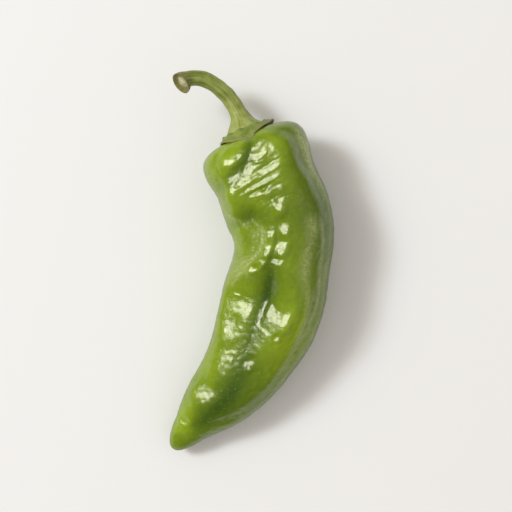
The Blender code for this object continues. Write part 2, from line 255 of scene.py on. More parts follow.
# Flat spots that face half way between the key light and straight up: distance along, distance to
# the +X side, half length, half width, turn from the pod's own direction in degrees.
FLAT_SPOTS = (
    (6, -6.4, 3.2, 5, 20), (8.8, 0.4, 2.3, 3.6, 10), (15.6, 1.6, 1.5, 4.3, 4),
    (16.8, -7.4, 1.3, 3.7, 4), (19.7, -3.6, 1, 6.2, 4), (24, 1, 1.6, 3, 8),
    (28.8, 0.6, 3.6, 2.2, -6), (37.6, 0.2, 3, 1.7, 8), (44.8, -0.9, 3, 2.1, 0),
    (50, -1.9, 1.5, 2.2, 0), (39.5, -4.7, 4, 1.3, -6), (46.6, -5.8, 4, 1.4, -10),
    (51.6, -7.4, 2.2, 1.4, -28), (54.5, -9.6, 2.2, 1.4, -38), (71.5, -9.5, 5, 3.2, 0),
    (80.5, -11.2, 5.6, 3.2, 4), (68.8, 0.6, 3.4, 2, 0), (70, 5.6, 3.6, 2.2, 0),
    (75.6, 0.4, 1, 1.1, 0), (76.6, 5.2, 1.2, 1.2, 0), (89, 0.6, 2.6, 1.8, 6),
    (109.4, -5.2, 4.4, 3.8, -8), (122.6, -3.4, 1.5, 1.8, 0),
)


def smooth(stations, places):
    """Cubic through (place, value) stations, whose slope at each is the harmonic mean of its two
    neighbouring chords, or 0 where they differ in sign, so that it never overshoots."""
    x, y = np.array(stations, float).T
    places = np.clip(places, x[0], x[-1])
    step = np.diff(x)
    rise = np.diff(y) / step
    slope = np.zeros(len(x))
    turns = rise[:-1] * rise[1:] > 0
    both = 2 * rise[:-1] * rise[1:] / np.where(turns, rise[:-1] + rise[1:], 1.0)
    slope[1:-1] = np.where(turns, both, 0.0)
    i = np.clip(np.searchsorted(x, places, side="right") - 1, 0, len(step) - 1)
    t = (places - x[i]) / step[i]
    return (
        y[i] * (1 + 2 * t) * (1 - t) ** 2
        + y[i + 1] * t**2 * (3 - 2 * t)
        + step[i] * t * (1 - t) * (slope[i] * (1 - t) - slope[i + 1] * t)
    )


def ease(t):
    """3t^2 - 2t^3, which goes from 0 to 1 with level ends."""
    t = np.clip(t, 0.0, 1.0)
    return t * t * (3 - 2 * t)


def bell(t):
    """e to the power of minus t squared."""
    return np.exp(-t * t)


def turn_between(angle, centre):
    """Smallest turn from one angle to another, in radians."""
    return (angle - centre + math.pi) % (2 * math.pi) - math.pi


def ripple(points, wavelength, seed, waves=24):
    """Sum of cosine waves in random directions over points in space, with a spread of about 1.
    Each wave's phase is its wave vector times the point."""
    random = np.random.default_rng(seed)
    way = random.normal(size=(waves, 3))
    way /= np.linalg.norm(way, axis=1)[:, None]
    length = wavelength * random.uniform(0.7, 1.5, waves)
    way = way * (2 * math.pi / length)[:, None]
    phase = random.uniform(0, 2 * math.pi, waves)
    total = np.zeros(points.shape[:-1])
    for vector, start in zip(way, phase):
        total += np.cos(points @ vector + start)
    return total * math.sqrt(2 / waves)


def crease_depth(spot, stations, power=2.0):
    """Depth of one crease at spots: e to the minus (distance to its line / width)^power, as deep
    and as wide as the line's nearest place. The line is a smooth curve in short straight pieces."""
    count = len(stations)
    fine = np.linspace(0, count - 1, 6 * (count - 1) + 1)
    columns = np.array(stations, float).T
    line = np.stack([smooth(list(enumerate(column)), fine) for column in columns], axis=-1)
    reach = 3.2 * columns[3].max()
    low = line[:, :2].min(axis=0) - reach
    high = line[:, :2].max(axis=0) + reach
    near = np.nonzero(((spot > low) & (spot < high)).all(axis=1))[0]
    found = spot[near]
    least = np.full(len(near), np.inf)
    depth = np.zeros(len(near))
    for start, end in zip(line[:-1], line[1:]):
        step = end - start
        t = np.clip((found - start[:2]) @ step[:2] / (step[:2] @ step[:2]), 0.0, 1.0)
        off = found - start[:2] - t[:, None] * step[:2]
        distance = np.hypot(off[:, 0], off[:, 1])
        fall = (distance / (start[3] + t * step[3])) ** power
        value = (start[2] + t * step[2]) * np.exp(-fall)
        depth = np.where(distance < least, value, depth)
        least = np.minimum(distance, least)
    total = np.zeros(len(spot))
    total[near] = depth
    return total


class PodShape:
    """The pod as a function of the distance along it and the angle around it."""

    def __init__(self, settings):
        self.length = settings.length
        self.width = settings.width
        self.height = settings.height
        self.shoulder = settings.shoulder_depth
        self.blunt = settings.shoulder_squareness
        self.square = settings.section_squareness
        self.tip = settings.tip_length
        self.folds = settings.fold_strength
        self.crinkle = settings.crinkle_height
        self.share = np.linspace(0.0, 1.0, 801)
        heading = np.radians(smooth(POD_HEADINGS, self.share))
        travel = np.stack([np.sin(heading), -np.cos(heading)], axis=-1)
        steps = (travel[1:] + travel[:-1]) / 2 * self.length / 800
        self.path = np.vstack([np.zeros(2), np.cumsum(steps, axis=0)])
        self.shift = np.zeros(3)

    def frames(self, along):
        """Middle point, direction of travel and sideways direction at distances along the pod."""
        at = np.asarray(along, float) / self.length
        heading = np.radians(smooth(POD_HEADINGS, at))
        travel = np.stack([np.sin(heading), -np.cos(heading), 0 * heading], axis=-1)
        side = np.stack([np.cos(heading), np.sin(heading), 0 * heading], axis=-1)
        height = smooth(POD_HEIGHTS, at) * self.height
        x, y = (np.interp(at, self.share, self.path[:, i]) for i in range(2))
        middle = np.stack([x, y, smooth(POD_LIFTS, at) + height / 2], axis=-1) + self.shift
        return middle, travel, side

    def oval(self, along, angle):
        """Radius of the plain section: the oval |x/a|^n + |z/b|^n = 1 read at an angle."""
        at = along / self.length
        half_width = smooth(POD_WIDTHS, at) * self.width / 2
        half_height = smooth(POD_HEIGHTS, at) * self.height / 2
        across = np.abs(np.cos(angle) / half_width) ** self.square
        upward = np.abs(np.sin(angle) / half_height) ** self.square
        return (across + upward) ** (-1 / self.square)

    def flat(self, along, angle):
        """How far the flattening sheet cuts back the plain section, in metres. The line from the
        middle at an angle meets the sheet at (sheet - middle height)/(sin - cos tan climb), and
        the skin is softly the lesser of that and the plain radius."""
        sheet = np.array(FLAT_SHEET, float)
        level = smooth(sheet[:, :2], along / MM) * MM
        climb = np.tan(np.radians(smooth(sheet[:, (0, 2)], along / MM)))
        at = along / self.length
        middle = smooth(POD_LIFTS, at) + smooth(POD_HEIGHTS, at) * self.height / 2
        rise = np.sin(angle) - np.cos(angle) * climb
        reach = np.where(rise > 0.15, (level - middle) / np.maximum(rise, 0.15), 1.0)
        blend = 0.0007
        gap = np.clip((reach - self.oval(along, angle)) / blend, -60, 60)
        return -blend * np.log1p(np.exp(-gap))

    def relief(self, along, angle):
        """How far the skin stands off the plain section, in metres, and how much of that is not
        the flat top. The underside's grooves are bells across their lines, and the creases and
        dents are as seen from above."""
        along, angle = np.broadcast_arrays(along, angle)
        place = along / MM
        flat = self.flat(along, angle)
        total = flat / MM
        for groove in UNDER_GROOVES:
            line = np.radians(smooth(groove["angles"], place))
            off = turn_between(angle, line) * self.oval(along, line) / MM
            total = total - smooth(groove["depths"], place) * bell(off / groove["width"])
        right = (self.oval(along, angle) + flat) * np.cos(angle) / MM
        above = ease(0.5 + 1.5 * np.sin(angle))
        seen = above > 0
        spot = np.stack([place[seen], right[seen]], axis=-1)
        depth = np.zeros(len(spot))
        for name, stations in CREASES.items():
            depth += crease_depth(spot, stations, 1.25 if name in SHARP else 2.0)
        for centre, middle, reach, across, turn, deep in DENTS.values():
            a = spot[:, 0] - centre
            b = spot[:, 1] - middle
            c, s = math.cos(math.radians(turn)), math.sin(math.radians(turn))
            depth += deep * bell((a * c + b * s) / reach) * bell((b * c - a * s) / across)
        total[seen] -= depth * above[seen]
        return total * MM * self.folds, (total * MM - flat) * self.folds

    def tone(self, along, angle):
        """Painted light and shade, from about 1, yellow-green on the -X side that faces the key, to
        about
        -1, deep green in painted shade on the side away from it and in grooves and folds; and the
        painted sheens.
        """
        along, angle = np.broadcast_arrays(along, angle)
        right = (self.oval(along, angle) + self.flat(along, angle)) * np.cos(angle) / MM
        # Painted light: yellower towards the key's -X side, deeper green towards +X.
        tone = 0.12 - 0.36 * np.tanh(right / 13.0)
        seen = np.sin(angle) > -0.4
        spot = np.stack([(along / MM)[seen], right[seen]], axis=-1)
        # Painted shade in grooves, valleys and folds, painted light on crowns and lobes.
        for stations in PAINTED_LIGHT_TONES.values():
            tone[seen] -= crease_depth(spot, stations) * ease(0.5 + 1.2 * np.sin(angle))[seen]
        # Painted sheens, highlights and reflections.
        pale = np.zeros_like(tone)
        for stations in PAINTED_SHEENS.values():
            pale[seen] += crease_depth(spot, stations) * ease(0.6 + 1.2 * np.sin(angle))[seen]
        return tone, pale

    def flattened(self, along, angle, radius, middle, out):
        """The radius with the flat spots cut in. Each spot is a plane through the skin at its
        centre, which faces the key's half way direction, and the skin keeps to it by e to the
        minus (distance from the centre over the spot's reach)^4."""
        facing = np.array(HALF_WAY) / np.linalg.norm(HALF_WAY)
        place = along / MM + 0 * angle
        toward = out @ facing
        above = ease(np.sin(angle) * 2) * (toward > 0.3)
        for centre, aside, long, wide, turn in FLAT_SPOTS:
            right = radius * np.cos(angle) / MM
            a = place - centre
            b = right - aside
            nearest = np.argmin(a * a + b * b + 1000 * (above < 0.5))
            points = middle + radius[..., None] * out
            anchor = points.reshape(-1, 3)[nearest]
            c, s = math.cos(math.radians(turn)), math.sin(math.radians(turn))
            reach = ((a * c + b * s) / long) ** 2 + ((b * c - a * s) / wide) ** 2
            hold = np.exp(-(reach**2) / 2) * above
            gap = (anchor - points) @ facing / np.maximum(toward, 0.3)
            radius = radius + hold * np.clip(gap, -0.002, 0.002)
        return radius

    def off_ridge(self, along, right):
        """Distance from the ridge beside the waist's hollow, in millimetres towards -X."""
        place = along / MM
        line = smooth(RIDGE_LINE, place)
        slope = np.gradient(line, axis=0) / np.gradient(place, axis=0)
        return (line - right) / np.sqrt(1 + slope**2)

    def streaks(self, along, angle, points):
        """Fine waves from -1 to 1 in the waist's hollow, which follow the ridge beside it."""
        right = (self.oval(along, angle) + self.flat(along, angle)) * np.cos(angle) / MM
        sway = 1.2 * ripple(points, 8 * MM, 11) + 0.8 * ripple(points, 3 * MM, 17)
        return np.cos(2 * math.pi * self.off_ridge(along, right) / 1.7 + sway)

    def fine_relief(self, along, angle, points):
        """Streaks, crinkles and swells that only the fine surface carries, in metres."""
        place = along / MM
        right = (self.oval(along, angle) + self.flat(along, angle)) * np.cos(angle) / MM
        above = ease(np.sin(angle) * 2)
        near = ease((place - 22) / 6) * (1 - ease((place - 56) / 8)) * above
        off = self.off_ridge(along, right)
        flank = near * ease((off - 1.0) / 3.0) * (1 - ease((off - 9.0) / 6.0))
        total = 0.04 * flank * self.streaks(along, angle, points)
        # Cross folds over the top of the shoulder, squeezed up by the bend.
        zone = ease((place - 5) / 4) * (1 - ease((place - 26) / 8)) * bell((right + 0.5) / 8.0) * above
        phase = place + 0.16 * right + 0.5 * ripple(points, 9 * MM, 12)
        total += 0.035 * zone * np.cos(2 * math.pi * phase / 1.7)
        total += 0.014 * zone * np.cos(2 * math.pi * (phase + 0.3 * ripple(points, 4 * MM, 13)) / 0.8)
        # Slow swells, and the small unevenness of skin over its flesh.
        total += 0.13 * ripple(points, 20 * MM, 14) + 0.045 * ripple(points, 7.5 * MM, 15)
        total += self.crinkle / MM * ripple(points, 2.6 * MM, 16, 40)
        return total * MM

    def point(self, along, share, angle, fine=True):
        """Middle point plus the section's radius, cut down to a share, along the angle."""
        middle, _, side = self.frames(along)
        out = np.cos(angle)[..., None] * side + np.sin(angle)[..., None] * UP
        relief, folds = self.relief(along, angle)
        radius = self.oval(along, angle) + relief
        if fine:
            radius = self.flattened(along, angle, radius, middle, out)
            rough = middle + (share * radius)[..., None] * out
            radius = radius + self.fine_relief(along, angle, rough)
        return middle + (share * radius)[..., None] * out, folds

    def drop(self, share):
        """How far the blunt end has fallen back at a share of the radius: d(1 - (1 - s^n)^(1/n))."""
        left = np.clip(1 - share**self.blunt, 0.0, 1.0)
        return self.shoulder * (1 - left ** (1 / self.blunt))

    def rows(self, shoulder, body, tip):
        """Distance along and share of the radius for each ring: blunt oval end, even body,
        round tip."""
        lean = np.linspace(0.0, math.pi / 2, shoulder + 1)[1:]
        reach = (np.sin(lean) ** self.blunt + np.abs(np.cos(lean)) ** self.blunt) ** (-1 / self.blunt)
        start = np.stack([self.shoulder * (1 - reach * np.cos(lean)), reach * np.sin(lean)])
        end = self.length - self.tip
        middle = np.linspace(self.shoulder, end, body + 1)[1:]
        middle = np.stack([middle, np.ones(body)])
        lean = np.linspace(0.0, math.pi / 2, tip + 1)[1:-1]
        last = np.stack([end + self.tip * np.sin(lean), np.cos(lean)])
        return np.hstack([start, middle, last])


def ring_mesh(name, rings, ends):
    """Closed mesh over rings of points, shape (rows, sides, 3), with a pole at each end. Every
    quad joins two neighbouring rings, and each pole closes its ring with a fan."""
    rows, sides, _ = rings.shape
    points = np.vstack([rings.reshape(-1, 3), ends])
    row = np.arange(rows - 1)[:, None] * sides
    i = np.arange(sides)
    j = (i + 1) % sides
    quads = np.stack([row + i, row + j, row + sides + j, row + sides + i], axis=-1).reshape(-1, 4)
    last = (rows - 1) * sides
    top = np.stack([np.full(sides, rows * sides), j, i], axis=-1)
    bottom = np.stack([np.full(sides, rows * sides + 1), last + i, last + j], axis=-1)
    corners = np.concatenate([quads.ravel(), top.ravel(), bottom.ravel()]).astype(np.int32)
    sizes = np.concatenate([np.full(len(quads), 4), np.full(2 * sides, 3)])
    starts = np.concatenate([[0], np.cumsum(sizes)[:-1]]).astype(np.int32)
    mesh = bpy.data.meshes.new(name)
    mesh.vertices.add(len(points))
    mesh.vertices.foreach_set("co", points.astype(np.float32).ravel())
    mesh.loops.add(len(corners))
    mesh.loops.foreach_set("vertex_index", corners)
    mesh.polygons.add(len(sizes))
    mesh.polygons.foreach_set("loop_start", starts)
    mesh.update(calc_edges=True)
    mesh.validate()
    mesh.shade_smooth()
    obj = bpy.data.objects.new(name, mesh)
    bpy.context.scene.collection.objects.link(obj)
    return obj


def add_values(obj, name, values):
    """Stores one number for each vertex, for the material to read."""
    layer = obj.data.attributes.new(name, "FLOAT", "POINT")
    layer.data.foreach_set("value", np.asarray(values, np.float32).ravel())


def build_pod(settings):
    """The pod's shape, moved so that its plain form fills the box of the frame's pod."""
    shape = PodShape(settings)
    along, share = shape.rows(10, 60, 8)
    angle = np.linspace(0, 2 * math.pi, 96, endpoint=False)
    plain, _ = shape.point(along[:, None], share[:, None], angle[None, :], fine=False)
    low, high = (np.array(corner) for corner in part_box("pod"))
    plain = plain.reshape(-1, 3)
    shape.shift = (low + high) / 2 - (plain.min(axis=0) + plain.max(axis=0)) / 2
    shape.shift[2] = low[2] - plain[:, 2].min()
    return shape


class Nodes:
    """A node tree and the one way to add nodes to it."""

    def __init__(self, tree):
        self.tree = tree

    def add(self, kind, settings=None, sockets=None):
        """A node of a type: its settings first, then its sockets, by name or number, as values or
        as links."""
        node = self.tree.nodes.new(kind)
        for name, value in (settings or {}).items():
            setattr(node, name, value)
        for label, value in (sockets or {}).items():
            self.join(value, node.inputs[label])
        return node

    def join(self, value, socket):
        """Links a socket or a Num to a socket, or sets the socket to a value."""
        value = value.socket if isinstance(value, Num) else value
        if isinstance(value, bpy.types.NodeSocket):
            self.tree.links.new(value, socket)
        else:
            socket.default_value = value

    def number(self, kind, output, settings=None, sockets=None):
        """A node's output as a Num."""
        return Num(self, self.add(kind, settings, sockets).outputs[output])


class Num:
    """A socket that carries a number, so that shader maths reads as a Python expression."""

    def __init__(self, nodes, socket):
        self.nodes = nodes
        self.socket = socket

    def _math(self, operation, *values):
        settings = {"operation": operation}
        return self.nodes.number("ShaderNodeMath", "Value", settings, dict(enumerate(values)))

    def __add__(self, other):
        return self._math("ADD", self, other)

    def __radd__(self, other):
        return self._math("ADD", other, self)

    def __sub__(self, other):
        return self._math("SUBTRACT", self, other)

    def __rsub__(self, other):
        return self._math("SUBTRACT", other, self)

    def __mul__(self, other):
        return self._math("MULTIPLY", self, other)

    def __rmul__(self, other):
        return self._math("MULTIPLY", other, self)

    def __truediv__(self, other):
        return self._math("DIVIDE", self, other)

    def __rtruediv__(self, other):
        return self._math("DIVIDE", other, self)

    def clamp(self):
        """Kept between 0 and 1."""
        return self._math("MINIMUM", self._math("MAXIMUM", self, 0.0), 1.0)

    def step(self, low, high):
        """0 below low, 1 above high, eased between."""
        t = ((self - low) / (high - low)).clamp()
        return t * t * (3.0 - 2.0 * t)


class Finish(Nodes):
    """One material: its Principled shader, set by constants, and what feeds it."""

    def __init__(self, name, **constants):
        self.material = bpy.data.materials.new(name)
        self.material.use_nodes = True
        super().__init__(self.material.node_tree)
        self.shader = self.tree.nodes["Principled BSDF"]
        for label, value in constants.items():
            self.shader.inputs[label.replace("_", " ")].default_value = value

    def value(self, name):
        """A number stored on the vertices."""
        return self.number("ShaderNodeAttribute", "Fac", {"attribute_name": name})

    def noise(self, scale, detail=3.0, roughness=0.5, distortion=0.0):
        """Noise over the object's own coordinates, from 0 to 1, with scale in cells per metre."""
        return self.number("ShaderNodeTexNoise", "Fac", None, {
            "Vector": self.add("ShaderNodeTexCoord").outputs["Object"],
            "Scale": scale, "Detail": detail, "Roughness": roughness, "Distortion": distortion,
        })

    def mix(self, share, first, second):
        """Colour between two colours or colour sockets."""
        first, second = (
            value if isinstance(value, bpy.types.NodeSocket) else (*value, 1.0)
            for value in (first, second)
        )
        # The Mix node's colour sockets are its seventh and eighth, and its colour output its third.
        node = self.add("ShaderNodeMix", {"data_type": "RGBA"}, {0: share, 6: first, 7: second})
        return node.outputs[2]

    def bump(self, height, distance, strength=1.0):
        """Links a height in shares of distance to the shader's normal."""
        sockets = {"Height": height, "Distance": distance, "Strength": strength}
        self.put("Normal", self.add("ShaderNodeBump", None, sockets).outputs["Normal"])

    def put(self, label, value):
        """Links or sets one of the shader's own sockets."""
        self.join(value, self.shader.inputs[label])


def skin_finish(colours):
    """Glossy waxy skin, mottled and streaked, with small pale specks, and painted light and shade:
    yellow-green on the lobes and the side towards the key, deep green in painted shade on the far
    side and in the grooves, and painted sheens along the folds."""
    skin = Finish(
        "pod_skin", Subsurface_Weight=0.05, Subsurface_Radius=(0.4, 0.6, 0.1),
        Subsurface_Scale=0.002, IOR=1.8, Coat_Roughness=0.1,
    )
    relief = skin.value("relief")
    tone = skin.value("tone")
    broad = skin.noise(38.0, 2.0)
    mottle = skin.noise(210.0, 4.0, 0.6, 0.4)
    speck = skin.noise(1500.0, 2.0, 0.5)
    # Painted sheens, highlights and reflections.
    pale = skin.value("pale")
    drift = (broad - 0.5) * 1.2 + (mottle - 0.5) * 0.9
    # Painted light and shade with random mottle: yellower towards the key and on raised relief, deeper
    # green away from it and in hollows.
    painted_light_and_mottle = (tone + drift + relief * 150.0).step(-0.55, 1.0)
    colour = skin.mix(painted_light_and_mottle, colours.shaded_deep_green, colours.lit_lobe_green)
    # Painted shade: the groove green in the grooves and deepest hollows.
    deep = (tone + drift * 0.6 + relief * 350.0).step(-1.5, -0.35)
    colour = skin.mix(deep, colours.groove_shade_green, colour)
    dots = speck.step(0.6, 0.7) * 0.32
    colour = skin.mix(dots, colour, colours.speck_green)
    cells = skin.noise(900.0, 3.0, 0.55)
    # Painted sheens, broken up by the cells.
    painted_sheen = (pale * (0.45 + cells.step(0.4, 0.62) * 0.55)).clamp()
    colour = skin.mix(painted_sheen, colour, colours.painted_sheen_green)
    skin.put("Base Color", colour)
    skin.put("Roughness", 0.16 + (mottle - 0.5) * 0.12 + (speck - 0.5) * 0.08)
    skin.put("Coat Weight", 0.6 + (mottle - 0.5) * 1.2)
    fine = skin.noise(2600.0, 2.0, 0.5)
    skin.bump(fine * 0.35 + cells * 0.65, 0.00025, 0.8)
    return skin.material


def calyx_finish(colours):
    """Satin green of the calyx, browning along its dry rim."""
    leaf = Finish(
        "calyx_green", IOR=1.45, Subsurface_Weight=0.1, Subsurface_Radius=(0.4, 0.5, 0.1),
        Subsurface_Scale=0.0015,
    )
    rim = leaf.value("rim")
    mottle = leaf.noise(420.0, 4.0, 0.6)
    grain = leaf.noise(1800.0, 3.0)
    green = leaf.mix((mottle * 2.6 - 0.8).clamp(), colours.calyx_deep, colours.calyx_green)
    dry = (rim + (mottle - 0.5) * 0.12).step(0.955, 1.01)
    leaf.put("Base Color", leaf.mix(dry, green, colours.dry_edge))
    leaf.put("Roughness", 0.42 + (mottle - 0.5) * 0.2)
    leaf.bump(grain * 0.5 + mottle * 0.5, 0.0002, 0.7)
    return leaf.material


def stem_finish(colours):
    """Satin olive stalk with pale streaks along it, paler towards its foot as a painted highlight, and
    a dry cut end round a pale pith.
    """
    stem = Finish(
        "stem_green", IOR=1.45, Subsurface_Weight=0.08, Subsurface_Radius=(0.4, 0.5, 0.1),
        Subsurface_Scale=0.0015,
    )
    around = stem.value("around")
    along = stem.value("along")
    cut = stem.value("cut")
    rib = stem.value("rib")
    place = stem.add("ShaderNodeCombineXYZ", None, {"X": around * 15.0, "Y": along * 3.0, "Z": 0.0})
    streak = stem.number("ShaderNodeTexNoise", "Fac", None, {
        "Vector": place.outputs["Vector"], "Scale": 1.0, "Detail": 5.0, "Roughness": 0.6,
    })
    mottle = stem.noise(300.0, 4.0, 0.6)
    # Painted highlight: paler towards the stem's foot.
    foot = 1.0 - along.step(0.1, 0.5)
    pale = (rib * 0.12 + (streak - 0.45) * 3.2 + (mottle - 0.5) * 1.6 + 0.35 + foot * 0.3).clamp()
    colour = stem.mix(pale, colours.stem_deep, colours.stem_pale)
    dry = ((along - 0.86) * 7.0 + (mottle - 0.5) * 1.6).clamp() * 0.7
    colour = stem.mix(dry, colour, colours.dry_brown)
    pith = cut.step(0.35, 0.6) * (0.35 + mottle.step(0.4, 0.6) * 0.65)
    colour = stem.mix(pith, colour, colours.pith)
    stem.put("Base Color", colour)
    stem.put("Roughness", 0.33 + (mottle - 0.5) * 0.25)
    stem.bump(streak * 0.7 + mottle * 0.3, 0.0003, 0.6)
    return stem.material


def floor_finish(colour):
    """Plain pale matt paper."""
    paper = Finish("studio_floor", Roughness=0.9, Specular_IOR_Level=0.1)
    grain = paper.noise(30.0, 3.0)
    sheet = paper.mix(grain * 0.3, colour, tuple(part * 0.985 for part in colour))
    shine = paper.number("ShaderNodeLightPath", "Is Glossy Ray")
    paper.put("Base Color", paper.mix(shine * 0.5, sheet, SHINE_FLOOR))
    return paper.material


def own_piece(obj, node, material):
    """The piece takes the place of the frame's node, on the one body, with its finish."""
    obj.data.materials.append(material)
    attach(obj, "root")
    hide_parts(node)


def metres(name, description, default):
    """A length property."""
    return bpy.props.FloatProperty(
        name=name, description=description, default=default, unit="LENGTH", precision=6)


def watts(name, description, default):
    """A light's power property."""
    return bpy.props.FloatProperty(
        name=name, description=description, default=default, unit="POWER")


def number(name, description, default):
    """A property without a unit."""
    return bpy.props.FloatProperty(name=name, description=description, default=default)


def count(name, description, default):
    """A whole number property."""
    return bpy.props.IntProperty(name=name, description=description, default=default)


def colour(name, description, default):
    """A linear colour property."""
    return bpy.props.FloatVectorProperty(
        name=name, description=description, default=default, subtype="COLOR", size=3, min=0.0,
        max=1.0)


class ChilliPodSettings(bpy.types.PropertyGroup):
    """Sizes of the pod."""

    length: metres("Length", "Along the pod's middle line", 0.1336)
    width: metres("Width", "Widest, seen from above", 0.0404)
    height: metres("Height", "Thickest, from underside to top", 0.0390)
    shoulder_depth: metres("Shoulder depth", "Length of the blunt calyx end", 0.0105)
    shoulder_squareness: number("Shoulder squareness", "2 is round, more is flatter", 3.6)
    section_squareness: number("Section squareness", "2 is an ellipse", 2.12)
    tip_length: metres("Tip length", "Length of the rounded far end", 0.0085)
    fold_strength: number("Fold strength", "Multiplies every groove and dent", 1.0)
    crinkle_height: metres("Crinkle height", "Height of the finest unevenness", 0.000036)
    rings: count("Rings", "Rings of points along the pod", 400)
    sides: count("Sides", "Points in each ring", 236)


class ChilliStemSettings(bpy.types.PropertyGroup):
    """Sizes of the calyx and the stem."""

    calyx_radius: metres("Calyx radius", "To the points of its teeth", 0.0114)
    calyx_front: metres("Calyx front", "How much further it reaches over the top", 0.0029)
    calyx_edge: metres("Calyx edge", "Thickness at the rim", 0.0007)
    calyx_collar: metres("Calyx collar", "Height of the seat under the stem", 0.0020)
    knob_height: metres("Knob height", "Of the knobs round the stem's foot", 0.0007)
    teeth: count("Teeth", "Points of the calyx's rim", 5)
    tooth_depth: metres("Tooth depth", "Depth of the bays between the teeth", 0.0010)
    length: metres("Length", "Along the stem", 0.0347)
    radius: metres("Radius", "Of the stem's even middle", 0.0031)
    taper: metres("Taper", "How much the stem thins before its cut end", 0.0002)
    foot_radius: metres("Foot radius", "Where the stem meets the calyx", 0.0076)
    foot_length: metres("Foot length", "Length of the flare", 0.0088)
    end_radius: metres("End radius", "Of the swollen cut end", 0.0041)
    end_length: metres("End length", "Length of the swelling", 0.0040)
    ribs: count("Ribs", "Ribs along the stem", 6)


class ChilliColours(bpy.types.PropertyGroup):
    """Base colours."""

    # The skin's deep green is painted shade on the side away from the key, its lobe green painted
    # light on the lobes and the key's side, its groove green painted shade in the grooves, and its
    # pale green painted sheens and reflections.
    shaded_deep_green: colour("Deep green", "Skin away from the lobes", (0.113, 0.182, 0.002))
    lit_lobe_green: colour("Lobe green", "Skin on the lobes", (0.275, 0.385, 0.006))
    groove_shade_green: colour("Groove green", "Skin in the grooves", (0.035, 0.082, 0.001))
    speck_green: colour("Speck green", "Small pale specks", (0.28, 0.36, 0.05))
    painted_sheen_green: colour("Pale green", "Sheens along the folds", (0.40, 0.46, 0.16))
    calyx_green: colour("Calyx green", "Calyx", (0.27, 0.33, 0.06))
    calyx_deep: colour("Calyx shade", "Darker calyx", (0.13, 0.18, 0.03))
    stem_deep: colour("Stem green", "Stem between its streaks", (0.145, 0.185, 0.022))
    # The stem streaks colour also paints a highlight near the stem's foot.
    stem_pale: colour("Stem streaks", "Pale streaks and ribs", (0.36, 0.40, 0.11))
    dry_brown: colour("Dry brown", "Dried edges", (0.16, 0.12, 0.045))
    dry_edge: colour("Dry edge", "Calyx rim", (0.26, 0.24, 0.09))
    pith: colour("Pith", "Cut end", (0.55, 0.50, 0.30))
    floor: colour("Floor", "Studio floor", (0.86, 0.845, 0.845))


class ChilliStudioSettings(bpy.types.PropertyGroup):
    """Light and camera."""

    view_width: metres("View width", "Width of the view at mid height", 0.1906)
    lens: bpy.props.FloatProperty(
        name="Lens", description="Focal length", default=85.0, unit="CAMERA")
    key_power: watts("Key power", "Power of the soft key light", 17.0)
    glow_power: watts("Glow power", "Power of the wide panel round the key", 18.5)
    fill_power: watts("Fill power", "Power of the side panel", 0.35)
    room: number("Room", "Brightness of the room away from the key", 0.36)
    window: number("Window", "How much brighter the room is on the key's side", 0.08)
    overhead: number("Overhead", "How much brighter the room is straight above", 0.36)
    dark_shine: number("Dark shine", "How much of the room is left out of shine", 0.8)


STEM_TURNS = (  # degrees turned towards -X, at shares of the stem's length
    (0, 0), (0.08, -4), (0.2, 2), (0.36, 15), (0.53, 29), (0.7, 48), (0.84, 76), (1, 108),
)
STEM_RISES = ((0.0, 0.0), (0.35, 6.0), (0.75, 18.0), (1.0, 28.0))  # degrees above level


def calyx_surface(shape, settings, share, angle):
    """Upper and lower faces of the calyx at shares of its rim's radius. The lower face is the
    pod's blunt end; the upper one stands off it by the edge's thickness at the rim, rising to
    the collar under the stem."""
    bays = 0.5 - 0.5 * np.cos(settings.teeth * angle + 0.4)
    uneven = 0.35 * np.cos(2 * angle + 1.0) + 0.25 * np.cos(3 * angle + 2.2)
    front = settings.calyx_front * bell(turn_between(angle, math.radians(95)) / 0.75)
    rim = settings.calyx_radius + front - settings.tooth_depth * (bays + uneven * 0.5)
    radius = share * rim
    skin = shape.oval(0 * angle, angle) + shape.relief(0 * angle, angle)[0]
    fall = shape.drop(radius / skin)
    middle, travel, side = shape.frames(np.zeros(1))
    out = np.cos(angle)[..., None] * side + np.sin(angle)[..., None] * UP
    blend = np.clip((radius - settings.foot_radius) / (rim - settings.foot_radius), 0.0, 1.0)
    blend = ease(blend ** 1.5)
    rib = 0.5 + 0.5 * np.cos(settings.teeth * 2 * angle)
    thick = settings.calyx_edge + 0.00045 * rib * (1 - share) * share * 4
    knob = bell((blend - 0.25) / 0.2) * (0.5 + 0.5 * np.cos(11 * angle + 0.9 * np.sin(3 * angle)))
    curl = 0.0011 * ease((share - 0.7) / 0.3) * bell(turn_between(angle, 0.15) / 0.5)
    curl = curl + 0.0003 * ease((share - 0.75) / 0.25) * (1 - bays)
    lower = fall - 0.00005 - curl
    upper = (1 - blend) * -settings.calyx_collar + blend * (lower - thick)
    upper = np.minimum(upper - settings.knob_height * knob, lower - 0.0002)
    base = middle + radius[..., None] * out
    return base + upper[..., None] * travel, base + lower[..., None] * travel


